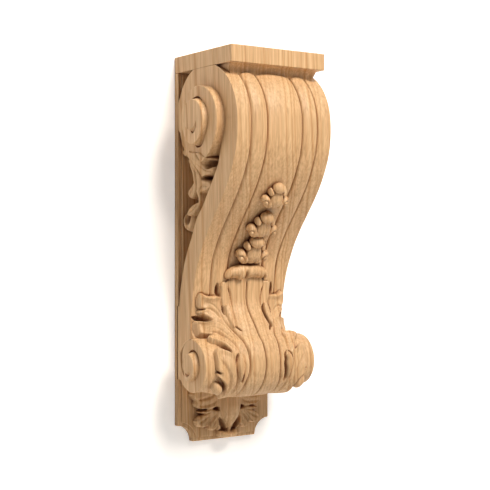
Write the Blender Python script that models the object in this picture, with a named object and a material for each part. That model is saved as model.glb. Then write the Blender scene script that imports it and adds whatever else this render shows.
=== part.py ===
"""Carved oak corbel bracket: one solid block with cap, S-scroll, volutes, leaves and back board.

Frame: X runs along the wall, +Y points into the wall, Z is up. The origin is the middle of the flat
back, where the bracket is fixed. Lengths below are millimetres; the mesh is made in metres.
"""
import math

import bmesh
import bpy
from mathutils import Vector

MM = 0.001

# Overall block
HEIGHT = 400.0
WIDTH = 114.0
SCROLL_REACH = 116.5

# Cap slab and the hollow neck below it
CAP_THICKNESS = 16.8
CAP_REACH = 106.5
NECK_FRONT_INSET = 6.0
NECK_SIDE_INSET = 4.0
NECK_HOLLOW = 3.0

# Back board with a rebated edge and hollowed lower corners
BOARD_THICKNESS = 9.0
EDGE_WIDTH = 4.0
EDGE_DEPTH = 2.0
CORNER_HOLLOW = 17.5

# Solid web left between the two side recesses
WEB_WIDTH = 66.0

# Reeding of the scroll's front, with the grooves at these shares of the half width
REED_RISE = 2.6
CENTRE_RISE = 3.2
GROOVE_DEPTH = 1.2
GROOVE_WIDTH = 2.4
INNER_GROOVE = 0.374
OUTER_GROOVE = 0.702

# Raised turns of the volutes, measured out from the block's side
UPPER_TURN_RISES = (9.5, 6.5, 2.5)
LOWER_TURN_RISES = (10.6, 6.0)
WALL_LEAN = 1.2
EMBED = 6.0

# Edges that turn by more than this many degrees stay sharp
SHARP_ANGLE = 35

# Carved leaves, husks and the rolled lip
LEAF_ROOT = 5.0
LIP_THICKNESS = 13.0
LIP_HALF_LENGTH = 26.0

SIDE = WIDTH / 2
SCROLL_HEIGHT = HEIGHT - CAP_THICKNESS

# The carver's pattern is drawn on a field this deep, high and wide from the board's face, and the
# free carving keeps its proportions on the real block.
PATTERN_REACH = 107.5
PATTERN_HEIGHT = 383.2
PATTERN_SIDE = 57.0
DEPTH_SCALE = (SCROLL_REACH - BOARD_THICKNESS) / PATTERN_REACH
LEVEL_SCALE = SCROLL_HEIGHT / PATTERN_HEIGHT
ACROSS_SCALE = SIDE / PATTERN_SIDE

# Volute centres and radii on the pattern: depth from the board's face, height from the bottom. The
# upper circle touches the scroll's front, and its top is tucked up into the cap.
UPPER_RADIUS = 59.5
UPPER_TUCK = 3.3
UPPER_CENTRE = (PATTERN_REACH - UPPER_RADIUS, PATTERN_HEIGHT + UPPER_TUCK - UPPER_RADIUS)
SNAIL_CENTRE = (48.0, 331.0)
SNAIL_RADIUS = 65.5
SNAIL_SHRINK = 0.088
LOWER_CENTRE = (41.0, 84.5)
LOWER_RADIUS = 26.3
LOWER_TURN_RADII = (LOWER_RADIUS + 0.3, 14.8, 13.4, 9.4)
LEAF_CENTRE = (40.0, 86.0)
LEAF_RADIUS = 35.0

# Angles in degrees, up from the front, where each raised spiral starts and ends
UPPER_SPIRAL = (170, 1080)
LOWER_SPIRAL = (90, 1050)
SPIRAL_STEPS = 28


def depth(pattern_depth):
    """Distance from the wall, for a pattern distance from the board's face."""
    return BOARD_THICKNESS + pattern_depth * DEPTH_SCALE


def level(pattern_level):
    """Height above the bottom edge, for a pattern height."""
    return pattern_level * LEVEL_SCALE


def place(x, out, up):
    """Point in metres from its place along the wall, distance from the wall and height."""
    return Vector((x * MM, -out * MM, (up - HEIGHT / 2) * MM))


def arc_points(centre, radius, first, last, count):
    """Points of a circle on the pattern, with angles up from the front in degrees."""
    points = []
    for i in range(count):
        angle = math.radians(first + (last - first) * i / (count - 1))
        points.append((centre[0] + radius * math.cos(angle), centre[1] + radius * math.sin(angle)))
    return points


def ease(value, low, high):
    """Smooth step from 0 at low to 1 at high."""
    share = min(max((value - low) / (high - low), 0.0), 1.0)
    return share * share * (3 - 2 * share)


# Front profile of the scroll, top to bottom, as stations numbered from 0. EDGE is the flat outer
# band and the roll below it; CREST is the middle, which the leaf thickens in the lower third.
UPPER_ARC = arc_points(UPPER_CENTRE, UPPER_RADIUS, 51.5, 2, 6)
SWEEP = [(107.5, 315), (105.2, 299), (99.5, 283), (90.5, 266), (79, 249.5), (67.5, 235),
         (56.5, 221), (47, 207), (39.5, 193)]
EDGE_FALL = [(33.5, 179.5), (29.2, 166), (26, 152), (24, 139), (23, 127), (24, 117)]
CREST_FALL = [(37.5, 181), (37.8, 167.5), (38.5, 155), (40, 144), (45.5, 134), (53.5, 124.5)]
EDGE_ROLL = arc_points(LOWER_CENTRE, LOWER_RADIUS, 112, -107, 10)
CREST_ROLL = arc_points(LEAF_CENTRE, LEAF_RADIUS, 52.3, -105.7, 10)
EDGE_UNDER = [(21, 63), (11, 65), (0, 66)]
CREST_UNDER = [(18, 55), (8, 60), (0, 62)]
EDGE = UPPER_ARC + SWEEP + EDGE_FALL + EDGE_ROLL + EDGE_UNDER
CREST = UPPER_ARC + SWEEP + CREST_FALL + CREST_ROLL + CREST_UNDER
REEDS_END = (15.2, 18.0)


def along(profile, station):
    """Smooth curve through a profile's points at a fractional station."""
    last = len(profile) - 1
    i = min(max(int(math.floor(station)), 0), last - 1)
    f = station - i
    p0 = Vector(profile[max(i - 1, 0)])
    p1 = Vector(profile[i])
    p2 = Vector(profile[i + 1])
    p3 = Vector(profile[min(i + 2, last)])
    return 0.5 * (2 * p1 + (p2 - p0) * f + (2 * p0 - 5 * p1 + 4 * p2 - p3) * f ** 2
                  + (3 * p1 - p0 - 3 * p2 + p3) * f ** 3)


def band_rise(share):
    """Height of the reeded section above its flat outer band, by share of the half width."""
    share = abs(share)
    groove = GROOVE_WIDTH / WIDTH
    if share > OUTER_GROOVE + groove:
        return 0.0
    for line in (INNER_GROOVE, OUTER_GROOVE):
        if abs(share - line) <= groove:
            return -GROOVE_DEPTH * (1 - abs(share - line) / groove)
    if share < INNER_GROOVE:
        return CENTRE_RISE * (1 - (share / INNER_GROOVE) ** 2)
    middle = (INNER_GROOVE + OUTER_GROOVE) / 2
    half = (OUTER_GROOVE - INNER_GROOVE) / 2
    return REED_RISE * (1 - ((share - middle) / half) ** 2)


def front(station, share):
    """Point of the carved front as (x, out, up), before the leaves are added."""
    swell = 1 - min(abs(share), 1.0) ** 2.2
    spot = along(EDGE, station).lerp(along(CREST, station), swell)
    ahead = along(EDGE, station + 0.05).lerp(along(CREST, station + 0.05), swell)
    run = (ahead - spot).normalized()
    reeds = band_rise(share) * (1 - ease(station, *REEDS_END))
    return Vector((share * SIDE, depth(spot.x) - run.y * reeds, level(spot.y) + run.x * reeds))


def front_frame(station, x):
    """Point on the front and its outward normal, for a distance from the middle."""
    share = x / PATTERN_SIDE
    spot = front(station, share)
    down = front(station + 0.1, share) - front(station - 0.1, share)
    beside = front(station, share + 0.02) - front(station, share - 0.02)
    return spot, beside.cross(down).normalized()


for old in list(bpy.data.objects):
    bpy.data.objects.remove(old, do_unlink=True)

oak = bpy.data.materials.new("oak")
oak.use_nodes = True
oak_shader = oak.node_tree.nodes["Principled BSDF"]
oak_shader.inputs["Base Color"].default_value = (0.56, 0.36, 0.19, 1.0)
oak_shader.inputs["Roughness"].default_value = 0.55
oak_shader.inputs["Metallic"].default_value = 0.0

cuts = bpy.data.collections.new("scroll_cuts")
corner_cuts = bpy.data.collections.new("corner_cuts")
raised = bpy.data.collections.new("carving")
for collection in (cuts, corner_cuts, raised):
    bpy.context.scene.collection.children.link(collection)


def make_object(name, points, faces, collection):
    """Object from points in millimetres given as (x, out, up)."""
    mesh = bpy.data.meshes.new(name)
    mesh.from_pydata([place(*p) for p in points], [], faces)
    bm = bmesh.new()
    bm.from_mesh(mesh)
    bmesh.ops.recalc_face_normals(bm, faces=bm.faces)
    bmesh.ops.triangulate(bm, faces=[f for f in bm.faces if len(f.verts) > 4])
    bm.to_mesh(mesh)
    bm.free()
    mesh.materials.append(oak)
    mesh.shade_smooth()
    mesh.set_sharp_from_angle(angle=math.radians(SHARP_ANGLE))
    made = bpy.data.objects.new(name, mesh)
    collection.objects.link(made)
    if collection in (cuts, corner_cuts, raised):
        made.hide_render = True
        made.display_type = "WIRE"
    return made


def loft(name, rings, collection):
    """Closed solid through rings of equal point count, with both ends filled."""
    count = len(rings[0])
    points = [p for ring in rings for p in ring]
    faces = []
    for r in range(len(rings) - 1):
        for i in range(count):
            j = (i + 1) % count
            faces.append((r * count + i, r * count + j, (r + 1) * count + j, (r + 1) * count + i))
    faces.append(tuple(range(count)))
    faces.append(tuple((len(rings) - 1) * count + i for i in reversed(range(count))))
    return make_object(name, points, faces, collection)


def side_prism(name, outline, inner, outer, side):
    """Prism cut in from one side: its outline is (out, up) points."""
    rings = [[(side * x, out, up) for out, up in outline] for x in (inner, outer)]
    return loft(name, rings, cuts)


# Board and cap, cut from one block, with a raised field on the board inside its rebated edge
EDGE_FACE = BOARD_THICKNESS - EDGE_DEPTH
board_and_cap = [(0, 0), (0, HEIGHT), (CAP_REACH, HEIGHT), (CAP_REACH, SCROLL_HEIGHT),
                 (EDGE_FACE, SCROLL_HEIGHT), (EDGE_FACE, 0)]
block = loft("carved_corbel", [[(side * SIDE, out, up) for out, up in board_and_cap]
                               for side in (-1, 1)], bpy.context.scene.collection)


def hollow_arc(radius, side, first, last):
    """Quarter hollow about a lower corner of the board, as (x, up) points."""
    points = []
    for i in range(7):
        turn = math.radians(first + (last - first) * i / 6)
        points.append((side * (SIDE - radius * math.cos(turn)), radius * math.sin(turn)))
    return points


for side in (-1, 1):
    ring = hollow_arc(CORNER_HOLLOW, side, 0, 90)
    ring += [(side * (SIDE + EMBED), CORNER_HOLLOW), (side * (SIDE + EMBED), -EMBED)]
    ring += [(side * (SIDE - CORNER_HOLLOW), -EMBED)]
    loft("corner_hollow", [[(x, out, up) for x, up in ring]
                           for out in (-EMBED, BOARD_THICKNESS + EMBED)], corner_cuts)
field_radius = CORNER_HOLLOW + EDGE_WIDTH
bend = math.degrees(math.asin(EDGE_WIDTH / field_radius))
field = [(SIDE - EDGE_WIDTH, HEIGHT - CAP_THICKNESS / 2)]
field += [(-(SIDE - EDGE_WIDTH), HEIGHT - CAP_THICKNESS / 2)]
field += hollow_arc(field_radius, -1, 90 - bend, bend) + hollow_arc(field_radius, 1, bend, 90 - bend)
loft("board_field", [[(x, out, up) for x, up in field]
                     for out in (EDGE_FACE / 2, BOARD_THICKNESS)], raised)

# Scroll, lofted across the width through upright slices; its back and top lie inside board and cap
NECK_FOOT = EDGE[0]
groove = GROOVE_WIDTH / WIDTH
slices = []
for share in (0, 0.18, 0.3, INNER_GROOVE - groove, INNER_GROOVE, INNER_GROOVE + groove, 0.46, 0.54,
              0.62, OUTER_GROOVE - groove, OUTER_GROOVE, OUTER_GROOVE + groove, 0.87, 1.0):
    foot = front(0, share)
    neck_top = CAP_REACH - NECK_FRONT_INSET
    outline = [(EDGE_FACE / 3, HEIGHT - CAP_THICKNESS / 3), (neck_top, HEIGHT - CAP_THICKNESS / 3)]
    for i in range(4):
        turn = math.radians(90 * i / 4)
        outline.append((foot.y + (neck_top - foot.y) * (1 - math.sin(turn)),
                        foot.z + (SCROLL_HEIGHT - foot.z) * math.cos(turn)))
    for station in range(len(EDGE)):
        spot = front(station, share)
        outline.append((spot.y, spot.z))
    outline.append((EDGE_FACE / 3, outline[-1][1]))
    slices.append([(share * SIDE, out, up) for out, up in outline])
mirrored = [[(-x, out, up) for x, out, up in ring] for ring in reversed(slices[1:])]
scroll = loft("scroll", mirrored + slices, raised)


# Neck returned round the sides, under the cap
def upper_circle(up):
    """Distance of the volute's outer circle from the wall at a height."""
    rise = up / LEVEL_SCALE - UPPER_CENTRE[1]
    return depth(UPPER_CENTRE[0] + math.sqrt(UPPER_RADIUS ** 2 - rise ** 2))


for side in (-1, 1):
    foot_level = level(NECK_FOOT[1])
    rings = []
    for i in range(6):
        share = min(i / 4, 1)
        up = foot_level + (SCROLL_HEIGHT - foot_level) * share
        near = upper_circle(up)
        up += (i > 4) * CAP_THICKNESS / 4
        inner = SIDE - NECK_SIDE_INSET - NECK_HOLLOW * (1 - share) ** 2
        far = CAP_REACH + EMBED
        rings.append([(side * inner, near, up), (side * (SIDE + EMBED), near, up),
                      (side * (SIDE + EMBED), far, up), (side * inner, far, up)])
    loft("neck_return", rings, cuts)


def spiral_spot(centre, radius, angle):
    """Point (out, up) of a volute spiral at an angle up from the front."""
    return (depth(centre[0] + radius * math.cos(angle)), level(centre[1] + radius * math.sin(angle)))


def snail_radius(angle):
    """Radius of the upper volute's raised edge, which shrinks evenly as it turns."""
    return SNAIL_RADIUS * math.exp(-SNAIL_SHRINK * angle)


# Side recesses: a corner above the volute and a long hollow below it, both down to the board
CORNER_ARC = [spiral_spot(UPPER_CENTRE, UPPER_RADIUS - 12 * ease(a, 90, 180), math.radians(a))
              for a in range(108, 153, 9)]
RIBBON_BACK = [(79.4, 306), (75.4, 289), (68.2, 276), (56, 259), (45.2, 243.7), (34.2, 232),
               (23.5, 211), (16.1, 198.4), (10, 184.6), (6.4, 173), (2.6, 159), (0, 142)]
for side in (-1, 1):
    top = SCROLL_HEIGHT + CAP_THICKNESS / 4
    corner = [(EDGE_FACE / 2, top), (CORNER_ARC[0][0], top)]
    corner += CORNER_ARC + [(EDGE_FACE / 2, CORNER_ARC[-1][1])]
    side_prism("corner_recess", corner, WEB_WIDTH / 2, SIDE + EMBED, side)
    hollow = [(depth(d), level(h)) for d, h in RIBBON_BACK]
    hollow += [(EDGE_FACE / 2, hollow[-1][1])]
    hollow_top = [spiral_spot(SNAIL_CENTRE, snail_radius(math.radians(a)) - 5, math.radians(a))
                  for a in range(326, 208, -19)]
    hollow_top += [(EDGE_FACE / 2, hollow_top[-1][1])]
    side_prism("hollow", hollow[::-1] + hollow_top, WEB_WIDTH / 2, SIDE + EMBED, side)


def raised_spiral(name, centre, radius_at, rise_at, first, last, side):
    """Snail of stepped turns standing out from the block's side, closed below by a buried foot."""
    turn = SPIRAL_STEPS
    count = int((last - first) / 360 * turn)
    angles = [math.radians(first + 360 * i / turn) for i in range(count + 1)]
    foot = WEB_WIDTH / 2 - EMBED

    def spot(angle, radius, x):
        out, up = spiral_spot(centre, radius, angle)
        return (side * x, out, up)

    points = []
    tops = []
    lows = []
    for i, angle in enumerate(angles):
        tops.append(len(points))
        points.append(spot(angle, radius_at(angle), SIDE + rise_at(angle)))
        lows.append(len(points))
        if i < turn:
            points.append(spot(angle, radius_at(angle), foot))
        else:
            below = SIDE + rise_at(angle - 2 * math.pi)
            points.append(spot(angle, radius_at(angle) + WALL_LEAN, below))
    foot_end = len(points)
    points.append(spot(angles[turn], radius_at(angles[turn]), foot))
    middle = len(points)
    points.append(spot(0, 0, SIDE + rise_at(angles[-1])))
    faces = []
    for i in range(turn - 1):
        faces.append((tops[i], tops[i + 1], lows[i + 1], lows[i]))
    faces.append((tops[turn - 1], tops[turn], foot_end, lows[turn - 1]))
    for i in range(turn, count):
        faces.append((tops[i], tops[i + 1], lows[i + 1], lows[i]))
    for i in range(count - turn):
        faces.append((tops[i], tops[i + 1], lows[i + turn + 1], lows[i + turn]))
    for i in range(count - turn, count):
        faces.append((middle, tops[i], tops[i + 1]))
    faces.append((middle, tops[count], lows[count], tops[count - turn]))
    faces.append((lows[0], tops[0], lows[turn], tops[turn], foot_end))
    faces.append(tuple(lows[:turn]) + (foot_end,))
    return make_object(name, points, faces, raised)


def upper_rise(angle):
    turn = math.degrees(angle)
    first, second, third = UPPER_TURN_RISES
    return (-1 + (first + 1) * ease(turn, 180, 330) + second * ease(turn, 560, 690)
            + third * ease(turn, 900, 1010))


def lower_radius(angle):
    turn = math.degrees(angle)
    outer, inner, late, eye = LOWER_TURN_RADII
    return (outer - (outer - inner) * ease(turn, 450, 560) - (inner - late) * ease(turn, 560, 760)
            - (late - eye) * ease(turn, 880, LOWER_SPIRAL[1]))


def lower_rise(angle):
    turn = math.degrees(angle)
    first, second = LOWER_TURN_RISES
    return first + second * ease(turn, 540, 650)


for side in (-1, 1):
    raised_spiral("upper_volute", SNAIL_CENTRE, snail_radius, upper_rise, *UPPER_SPIRAL, side)
    raised_spiral("lower_volute", LOWER_CENTRE, lower_radius, lower_rise, *LOWER_SPIRAL, side)


def tongue(name, spine):
    """Leaf lobe along (centre, normal, half width, rise) rings; its root lies under the surface."""
    rings = []
    for i, (centre, normal, half, rise) in enumerate(spine):
        before = spine[max(i - 1, 0)][0]
        after = spine[min(i + 1, len(spine) - 1)][0]
        run = (after - before).normalized()
        beside = normal.cross(run).normalized()
        ring = []
        for k in range(5):
            turn = math.radians(45 * k)
            ring.append(centre + beside * (half * math.cos(turn)) + normal * (rise * math.sin(turn)))
        ring.append(centre - beside * (half * 0.7) - normal * LEAF_ROOT)
        ring.append(centre + beside * (half * 0.7) - normal * LEAF_ROOT)
        rings.append(ring)
    loft(name, rings, raised)


def front_tongue(name, rows):
    """Lobe on the scroll's front; each row is x, station, half width and rise."""
    for side in (-1, 1):
        spine = []
        for x, station, half, rise in rows:
            spot, normal = front_frame(station, side * x)
            spine.append((spot, normal, half * ACROSS_SCALE, rise))
        tongue(name, spine)


LEAF_LOBES = [
    [(15, 18.3, 6, 3), (19, 17.4, 6.5, 4), (25, 16.6, 5.5, 4.5), (30, 16.25, 2.5, 3)],
    [(18, 19.9, 9, 3), (29, 18.5, 11, 4.5), (39, 17.6, 11, 5.5), (48, 17.2, 8, 5), (53, 17.2, 4, 3)],
    [(20, 21.4, 8, 3.5), (33, 20.3, 9, 5), (46, 20.0, 10.5, 5.5), (53, 19.9, 8.5, 5),
     (56.5, 19.9, 4, 2)],
    [(22, 22.5, 7, 3.5), (36, 22.1, 7.5, 5), (46, 21.9, 7, 5), (54, 22.2, 3, 3)],
    [(20, 23.8, 8, 3.5), (33, 24.0, 10, 5.5), (44, 24.4, 11, 6.5), (52, 24.9, 8, 5),
     (56.5, 25.3, 4, 2.5)],
    [(22, 25.8, 8, 4), (35, 25.8, 9, 5), (47, 26, 6, 4), (55, 26.2, 2.5, 2)],
    [(20, 27.2, 8, 3), (34, 27.2, 8, 4.5), (45, 27.6, 8, 6), (51, 27.9, 4.5, 4)],
]
for rows in LEAF_LOBES:
    front_tongue("leaf_lobe", rows)

# Stem of the leaf: a rib on each side of the groove down the middle, over the roll and under it
STEM_RIBS = [(15.6, 8), (16.6, 9), (17.8, 7.5), (18.7, 7), (20, 7.8), (21.5, 8.8), (22.8, 8.3),
             (24.2, 7.6), (25.8, 7.8), (27.4, 8.6)]
front_tongue("stem_rib", [(half + 0.8, station, half, 3.2) for station, half in STEM_RIBS])


def bead(name, centre, normal, run, sizes, segments=8):
    """Rounded bud: half lengths across, along and out of the surface."""
    beside = normal.cross(run).normalized()
    along_run = beside.cross(normal).normalized()
    points = [centre + normal * sizes[2]]
    rings = 4
    for r in range(1, rings):
        tilt = math.pi * r / rings
        for k in range(segments):
            turn = 2 * math.pi * k / segments
            points.append(centre + beside * (sizes[0] * math.sin(tilt) * math.cos(turn))
                          + along_run * (sizes[1] * math.sin(tilt) * math.sin(turn))
                          + normal * (sizes[2] * math.cos(tilt)))
    points.append(centre - normal * sizes[2])
    faces = []
    last = len(points) - 1
    for k in range(segments):
        j = (k + 1) % segments
        faces.append((0, 1 + k, 1 + j))
        for r in range(rings - 2):
            a = 1 + r * segments
            faces.append((a + k, a + segments + k, a + segments + j, a + j))
        a = 1 + (rings - 2) * segments
        faces.append((last, a + j, a + k))
    make_object(name, points, faces, raised)


def front_bead(name, x, station, lift, sizes):
    spot, normal = front_frame(station, x)
    run = front(station + 0.2, x / PATTERN_SIDE) - front(station - 0.2, x / PATTERN_SIDE)
    bead(name, spot + normal * lift, normal, run.normalized(), sizes)


# Husk chain: three tiers of a bud, two leaflets and two curled lobes on a stem
HUSK_TIERS = ((9.15, 0.9), (11.0, 1.05), (12.85, 1.15))
for station, size in HUSK_TIERS:
    front_bead("husk_bud", 0, station, 5 * size, (8 * size, 7 * size, 6.5 * size))
    for side in (-1, 1):
        front_bead("husk_leaflet", side * 7 * size, station + 0.45, 3.5 * size,
                   (4.5 * size, 5 * size, 5 * size))
        front_bead("husk_lobe", side * 8.5 * size, station + 1.1, 3.5 * size,
                   (6.2 * size, 6.5 * size, 6.5 * size))
stem = []
for station, half, rise in ((9.0, 5, 4), (10.0, 6, 6), (11.0, 6.5, 7), (12.0, 7, 7), (13.2, 8, 8),
                            (14.4, 9, 6), (15.0, 9, 4)):
    spot, normal = front_frame(station, 0)
    stem.append((spot, normal, half, rise))
tongue("husk_stem", stem)

# Lip: the leaf's top rolled over into a bar across the middle
lip = []
for i in range(9):
    share = -1 + i / 4
    x = share * LIP_HALF_LENGTH
    spot, normal = front_frame(15.25 + 0.25 * share * share, x)
    radius = LIP_THICKNESS / 2 * (1 - 0.45 * abs(share) ** 4)
    centre = spot + normal * (radius * 0.75)
    run = (front(15.4, share / 2) - front(15.1, share / 2)).normalized()
    ring = []
    for k in range(8):
        turn = 2 * math.pi * k / 8
        ring.append(centre + normal * (radius * math.cos(turn)) + run * (radius * math.sin(turn)))
    lip.append(ring)
loft("leaf_lip", lip, raised)


# Pendant leaf on the board below the roll
def board_tongue(name, rows, sides=(-1, 1)):
    """Lobe lying on the board; each row is x, height, half width and rise."""
    for side in sides:
        spine = []
        for x, up, half, rise in rows:
            centre = Vector((side * x * ACROSS_SCALE, BOARD_THICKNESS, level(up)))
            spine.append((centre, Vector((0, 1, 0)), half * ACROSS_SCALE, rise))
        tongue(name, spine)


board_tongue("pendant_lobe", [(6, 50, 11, 15), (22, 46, 11, 14), (35, 42, 10, 12), (44, 40, 6, 7)])
board_tongue("pendant_lobe", [(6, 38, 10, 13), (18, 30, 11, 12), (29, 23, 10, 10),
                              (36, 18, 5.5, 6)])
board_tongue("pendant_lobe", [(5, 28, 8, 11), (12, 20, 8, 10), (19, 14, 7, 8), (23, 10, 3.5, 5)])
board_tongue("pendant_tip", [(0, 58, 10, 17), (0, 40, 10, 15), (0, 24, 9, 13), (0, 12, 11, 11),
                             (0, 6, 12, 8), (0, 2.2, 8, 4)], (1,))


# Foliage in the side hollows: a stem with lobes, and a ringed tip at its foot
def side_tongue(name, rows):
    """Lobe in the side hollow; each row is depth, height, half width and distance from the middle."""
    for side in (-1, 1):
        spine = []
        for out, up, half, x in rows:
            centre = Vector((side * x * ACROSS_SCALE, depth(out), level(up)))
            spine.append((centre, Vector((side, 0, 0)), half, 5.0))
        tongue(name, spine)


SIDE_LOBES = [
    [(31, 300, 9, 46), (32, 288, 11, 48), (32, 274, 9, 48), (31, 262, 6, 48), (31, 248, 5, 47)],
    [(30, 297, 5, 46), (18, 298, 6, 50), (7, 298, 4, 52)],
    [(30, 287, 5, 46), (18, 290, 5.5, 50), (9, 291.5, 2.5, 52)],
    [(34, 283, 6, 47), (46, 279, 6.5, 51), (58, 277, 6, 51), (66, 277, 3.5, 49)],
    [(34, 270, 6, 47), (44, 266, 7.5, 51), (53, 264.5, 6, 49)],
    [(30, 269, 6, 46), (22, 263, 7, 51), (15, 255, 4, 50)],
    [(31, 252, 6, 46), (25, 245, 8, 50), (17, 240, 8, 51)],
    [(27, 243, 6, 48), (27, 233, 6, 52), (18, 225, 6, 53), (9, 226, 5, 52), (5, 234, 4, 50)],
]
for rows in SIDE_LOBES:
    side_tongue("side_lobe", rows)

for solid, step, operand in ((scroll, "DIFFERENCE", cuts), (block, "DIFFERENCE", corner_cuts),
                             (block, "UNION", raised)):
    carve = solid.modifiers.new(operand.name, "BOOLEAN")
    carve.operation = step
    carve.operand_type = "COLLECTION"
    carve.collection = operand
    carve.solver = "EXACT"
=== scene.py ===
import math
import bmesh
import bpy
import numpy as np
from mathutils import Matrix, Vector


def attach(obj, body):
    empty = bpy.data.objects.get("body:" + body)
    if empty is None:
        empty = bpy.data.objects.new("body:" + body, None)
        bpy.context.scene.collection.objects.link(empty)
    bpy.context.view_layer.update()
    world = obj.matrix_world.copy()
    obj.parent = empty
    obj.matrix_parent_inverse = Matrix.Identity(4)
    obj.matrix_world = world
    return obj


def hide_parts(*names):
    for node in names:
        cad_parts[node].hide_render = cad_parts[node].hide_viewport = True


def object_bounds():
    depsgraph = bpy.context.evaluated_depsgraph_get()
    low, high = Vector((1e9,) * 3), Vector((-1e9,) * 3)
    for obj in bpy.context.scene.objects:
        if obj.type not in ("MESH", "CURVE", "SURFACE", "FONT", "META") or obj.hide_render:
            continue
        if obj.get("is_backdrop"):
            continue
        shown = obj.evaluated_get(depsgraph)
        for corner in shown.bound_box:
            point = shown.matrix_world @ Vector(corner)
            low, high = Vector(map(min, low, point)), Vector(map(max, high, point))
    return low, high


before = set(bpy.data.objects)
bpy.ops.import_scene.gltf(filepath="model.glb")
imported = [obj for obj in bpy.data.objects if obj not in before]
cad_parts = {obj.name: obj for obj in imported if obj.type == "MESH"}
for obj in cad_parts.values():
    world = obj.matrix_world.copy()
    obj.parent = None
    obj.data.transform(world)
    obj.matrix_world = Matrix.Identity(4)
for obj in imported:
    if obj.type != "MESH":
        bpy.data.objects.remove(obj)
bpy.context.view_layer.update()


# Back board.
# A 9 mm oak board that lies flat against the wall. Its lower corners are hollowed, and its edge is
# cut down 2 mm all round, which leaves a raised field under the carving.
MM = 0.001
HEIGHT = 400.0
SIDE = 57.0
BOARD = 9.0
EDGE_FACE = 7.0
EDGE_WIDTH = 4.0
CORNER_HOLLOW = 17.5
UNDER_CAP = 383.2
OVERLAP = 3.0


def spot(x, out, up):
    """Metres, from millimetres along the wall, out from the wall and up from the bottom edge."""
    return (x * MM, -out * MM, (up - HEIGHT / 2) * MM)


def piece_from(name, points, faces, sharp_from=35):
    """New object from points in millimetres (x, out, up), facing outwards, smooth below an angle."""
    mesh = bpy.data.meshes.new(name)
    mesh.from_pydata([spot(*p) for p in points], [], faces)
    bm = bmesh.new()
    bm.from_mesh(mesh)
    bmesh.ops.recalc_face_normals(bm, faces=bm.faces)
    bm.to_mesh(mesh)
    bm.free()
    mesh.shade_smooth()
    mesh.set_sharp_from_angle(angle=math.radians(sharp_from))
    made = bpy.data.objects.new(name, mesh)
    bpy.context.scene.collection.objects.link(made)
    return made


def tube_faces(rings, sides, ends=True):
    """Faces of a tube made of rings of points that follow one another, with its two ends."""
    faces = []
    for r in range(rings - 1):
        for k in range(sides):
            j = (k + 1) % sides
            faces.append((r * sides + k, r * sides + j, (r + 1) * sides + j, (r + 1) * sides + k))
    if ends:
        faces += [tuple(range(sides)), tuple(range(rings * sides - 1, (rings - 1) * sides - 1, -1))]
    return faces


def prism(name, outline, low, high, plane):
    """Closed prism of an outline between two depths, either out from the wall or across it."""
    points = []
    for depth in (low, high):
        for a, b in outline:
            points.append((a, depth, b) if plane == "wall" else (depth, a, b))
    return piece_from(name, points, tube_faces(2, len(outline)))


def ease_edges(piece, width):
    """Sanded edges: a narrow bevel on every sharp edge."""
    bevel = piece.modifiers.new("sanded edges", "BEVEL")
    bevel.width = width * MM
    bevel.segments = 2
    bevel.limit_method = "ANGLE"
    bevel.angle_limit = math.radians(30)


def node(tree, kind, settings=None, links=None):
    """A node with its settings, and its inputs linked from other nodes' outputs or set to values."""
    made = tree.nodes.new(kind)
    for name, value in (settings or {}).items():
        setattr(made, name, value)
    for name, value in (links or {}).items():
        if isinstance(value, bpy.types.NodeSocket):
            tree.links.new(value, made.inputs[name])
        else:
            made.inputs[name].default_value = value
    return made


WHITE = (1.0, 1.0, 1.0, 1.0)


def linear(code):
    """Linear colour from an sRGB hex value."""
    parts = [int(code[i:i + 2], 16) / 255 for i in (0, 2, 4)]
    return tuple(c / 12.92 if c <= 0.04045 else ((c + 0.055) / 1.055) ** 2.4 for c in parts) + (1.0,)


def ramp(tree, fac, stops):
    """Colours spread over a value, one at each stop."""
    made = node(tree, "ShaderNodeValToRGB", None, {"Fac": fac})
    marks = made.color_ramp.elements
    for mark, (position, colour) in zip(marks, (stops[0], stops[-1])):
        mark.position = position
        mark.color = colour
    for position, colour in stops[1:-1]:
        marks.new(position).color = colour
    return made.outputs["Color"]


def darken(tree, share, colour, by):
    """A colour multiplied by another, by a share."""
    made = node(tree, "ShaderNodeMix", {"data_type": "RGBA", "blend_type": "MULTIPLY"},
                {0: share, 6: colour, 7: by})
    return made.outputs[2]


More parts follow.
